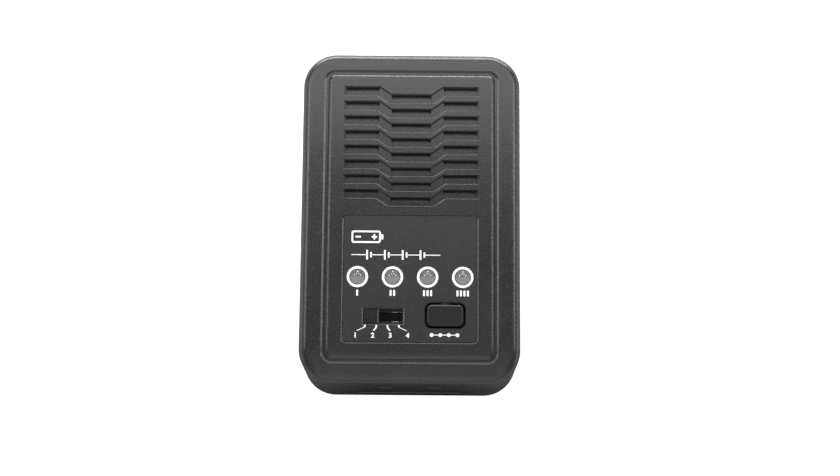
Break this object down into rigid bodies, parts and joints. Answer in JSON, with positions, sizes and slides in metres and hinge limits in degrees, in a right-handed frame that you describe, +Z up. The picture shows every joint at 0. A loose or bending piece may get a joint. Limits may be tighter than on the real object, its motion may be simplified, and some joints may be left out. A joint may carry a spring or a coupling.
{
  "type": "balance battery charger",
  "caption": "Table-top balance charger for model batteries: black moulded case with a louvre grille, status lamps, a slide switch for current, a press button, battery sockets and a mains inlet.",
  "frame": {"origin": "on the table under the middle of the case, at the underside of the rubber feet", "axes": "+X across the case to the button's side, +Y along the case to the mains inlet end, +Z up out of the face"},
  "size_m": [0.07, 0.107, 0.0383],
  "materials": {
    "case_plastic": "fine spark texture, satin black moulding",
    "base_plastic": "fine spark texture, satin black moulding",
    "label_sheet": "printed velvet film",
    "slider_plastic": "satin",
    "button_plastic": "satin",
    "lamp_resin": "clear flat-topped resin",
    "foot_rubber": "matte",
    "screw_steel": "zinc plated",
    "switch_steel": "tin plated",
    "contact_brass": "plated",
    "socket_nylon": "satin",
    "inlet_nylon": "satin",
    "board_laminate": "solder mask",
    "device_epoxy": "moulded epoxy",
    "ferrite_core": "ground ferrite",
    "coil_tape": "tape",
    "copper_winding": "enamelled copper",
    "heatsink_aluminium": "extruded",
    "capacitor_sleeve": "shrink sleeve",
    "fuse_tube": "clear",
    "filter_case": "moulded",
    "disc_coating": "dipped",
    "link_nylon": "moulded",
    "ribbon_sleeve": "extruded"
  },
  "bodies": {
    "charger": {"top_cover": "case_plastic", "base_cover": "base_plastic", "face_label": "label_sheet", "rubber_foot_1": "foot_rubber", "rubber_foot_2": "foot_rubber", "rubber_foot_3": "foot_rubber", "rubber_foot_4": "foot_rubber", "case_screw_1": "screw_steel", "case_screw_2": "screw_steel", "case_screw_3": "screw_steel", "case_screw_4": "screw_steel", "board_screw_1": "screw_steel", "board_screw_2": "screw_steel", "control_screw_1": "screw_steel", "control_screw_2": "screw_steel", "status_led_1": "lamp_resin", "status_led_2": "lamp_resin", "status_led_3": "lamp_resin", "status_led_4": "lamp_resin", "switch_body": "device_epoxy", "switch_shell": "switch_steel", "tact_switch": "device_epoxy", "control_board": "board_laminate", "processor_chip": "device_epoxy", "main_board": "board_laminate", "mains_inlet": "inlet_nylon", "inlet_pin_1": "contact_brass", "inlet_pin_2": "contact_brass", "balance_socket": "socket_nylon", "balance_pin_1": "contact_brass", "balance_pin_2": "contact_brass", "balance_pin_3": "contact_brass", "balance_pin_4": "contact_brass", "balance_pin_5": "contact_brass", "output_socket": "socket_nylon", "output_blade_1": "contact_brass", "output_blade_2": "contact_brass", "mains_fuse": "fuse_tube", "filter_capacitor": "filter_case", "line_choke": "copper_winding", "bridge_rectifier": "device_epoxy", "bulk_capacitor": "capacitor_sleeve", "transformer_core": "ferrite_core", "transformer_coil": "coil_tape", "primary_heatsink": "heatsink_aluminium", "primary_transistor": "device_epoxy", "output_heatsink": "heatsink_aluminium", "output_rectifier": "device_epoxy", "output_capacitor_1": "capacitor_sleeve", "output_capacitor_2": "capacitor_sleeve", "filter_inductor": "copper_winding", "safety_capacitor": "disc_coating", "optocoupler": "device_epoxy", "link_socket": "link_nylon", "link_ribbon": "ribbon_sleeve"},
    "slider": {"current_slider": "slider_plastic"},
    "button": {"type_button": "button_plastic"},
    "plunger": {"tact_plunger": "button_plastic"}
  },
  "joints": [
    {"name": "current_slide", "type": "slide", "parent": "charger", "child": "slider", "axis": [1, 0, 0], "range_m": [0, 0.0075]},
    {"name": "button_press", "type": "hinge", "parent": "charger", "child": "button", "pos_m": [0.01115, -0.02768, 0.03675], "axis": [1, 0, 0], "range_deg": [0, 3.5], "stiffness_Nm_per_rad": 0.1},
    {"name": "plunger_press", "type": "slide", "parent": "charger", "child": "plunger", "axis": [0, 0, -1], "range_m": [0, 0.0003]}
  ],
  "couplings": [
    {"joint": "plunger_press", "follows": "button_press", "m_per_rad": 0.00462}
  ]
}
